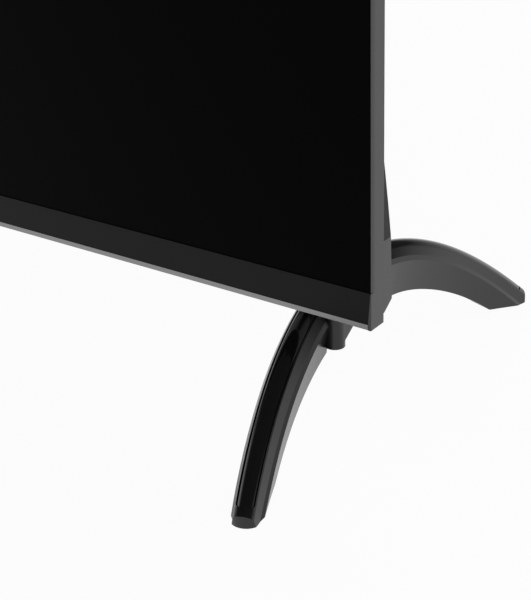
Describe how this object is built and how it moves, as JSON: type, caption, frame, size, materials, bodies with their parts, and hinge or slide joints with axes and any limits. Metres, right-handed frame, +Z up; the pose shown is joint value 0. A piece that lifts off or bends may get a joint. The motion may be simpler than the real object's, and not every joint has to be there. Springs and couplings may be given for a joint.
{
  "type": "flat screen television",
  "caption": "Flat screen television with a slim frame, narrow chin and deep rear electronics housing, standing on two arched legs, with a wall mounting pattern behind.",
  "frame": {"origin": "on the floor under the middle of the set: midway between the two legs and midway between the front and rear foot tips", "axes": "+Z up, -Y out of the screen towards the viewer, +X to the viewer's right"},
  "size_m": [1.232, 0.272, 0.7807],
  "materials": {
    "amber_film": "amber polyimide film",
    "black_adhesive_tape": "foam tape",
    "black_anodised_aluminium": "black anodised",
    "black_connector_plastic": "moulded connector",
    "black_rubber": "soft foot pad",
    "black_satin_plastic": "satin black moulding",
    "black_screen_glass": "gloss black when off",
    "black_screw_steel": "black zinc",
    "black_textured_plastic": "fine texture, black",
    "brass_bush": "turned brass",
    "capacitor_sleeve": "shrunk sleeve",
    "clear_acrylic": "clear sheet",
    "connector_steel": "tin plated shell",
    "dark_anodised_aluminium": "satin dark grey anodised",
    "ferrite_core": "ferrite and yellow tape",
    "green_circuit_board": "solder resist",
    "grey_satin_plastic": "satin grey moulding",
    "lead_insulation": "soft insulation",
    "led_phosphor": "yellow phosphor resin",
    "led_substrate": "white coated strip",
    "leg_gloss_plastic": "piano black",
    "leg_satin_plastic": "satin black moulding",
    "natural_aluminium": "plain extrusion",
    "nylon_clip": "natural nylon",
    "silver_aluminium": "fine satin silver",
    "smoked_window": "dark infrared window",
    "speaker_box_plastic": "matt black moulding",
    "speaker_cone_paper": "treated paper cone",
    "white_diffuser_film": "matt translucent film",
    "white_plastic": "matt white moulding",
    "white_ribbon_film": "flat ribbon film",
    "zinc_plated_steel": "zinc plated sheet"
  },
  "bodies": {
    "television": {"frame_rail_right": "dark_anodised_aluminium", "frame_rail_left": "dark_anodised_aluminium", "frame_rail_top": "dark_anodised_aluminium", "frame_rail_bottom": "silver_aluminium", "corner_keys": "zinc_plated_steel", "chin_cover": "black_satin_plastic", "lcd_panel": "black_screen_glass", "panel_tape": "black_adhesive_tape", "mould_frame": "black_connector_plastic", "diffuser_film": "white_diffuser_film", "prism_film": "white_diffuser_film", "light_guide_plate": "clear_acrylic", "reflector_sheet": "white_plastic", "back_plate": "zinc_plated_steel", "led_heat_spreader": "natural_aluminium", "led_bars": "led_substrate", "leds": "led_phosphor", "panel_flex_films": "amber_film", "source_boards": "green_circuit_board", "timing_board": "green_circuit_board", "timing_ribbon": "white_ribbon_film", "main_board": "green_circuit_board", "processor_heat_sink": "black_anodised_aluminium", "video_sockets": "connector_steel", "usb_sockets": "connector_steel", "network_socket": "black_connector_plastic", "aerial_socket": "connector_steel", "audio_sockets": "black_connector_plastic", "terminal_plate": "black_textured_plastic", "power_board": "green_circuit_board", "power_transformer": "ferrite_core", "power_capacitors": "capacitor_sleeve", "power_heat_sink": "natural_aluminium", "mains_inlet": "black_connector_plastic", "power_harness": "lead_insulation", "harness_clips": "nylon_clip", "wireless_module": "connector_steel", "board_standoffs": "zinc_plated_steel", "board_screws": "zinc_plated_steel", "wall_mount_bushes": "brass_bush", "speaker_box_right": "speaker_box_plastic", "speaker_box_left": "speaker_box_plastic", "speaker_drivers": "speaker_cone_paper", "leg_bracket_right": "zinc_plated_steel", "leg_bracket_left": "zinc_plated_steel", "rear_cover": "black_textured_plastic", "lower_housing": "grey_satin_plastic", "cover_screws": "black_screw_steel", "leg_body_right": "leg_satin_plastic", "leg_body_left": "leg_satin_plastic", "leg_top_strip_right": "leg_gloss_plastic", "leg_top_strip_left": "leg_gloss_plastic", "leg_screws": "black_screw_steel", "foot_pads": "black_rubber", "sensor_housing": "black_satin_plastic", "sensor_window": "smoked_window", "sensor_board": "green_circuit_board", "tact_switch": "black_connector_plastic"},
    "power_button": {"power_button": "black_satin_plastic"}
  },
  "joints": [
    {"name": "power_button_press", "type": "slide", "parent": "television", "child": "power_button", "axis": [0, 0, 1], "range_m": [0, 0.0006], "stiffness_N_per_m": 400}
  ]
}
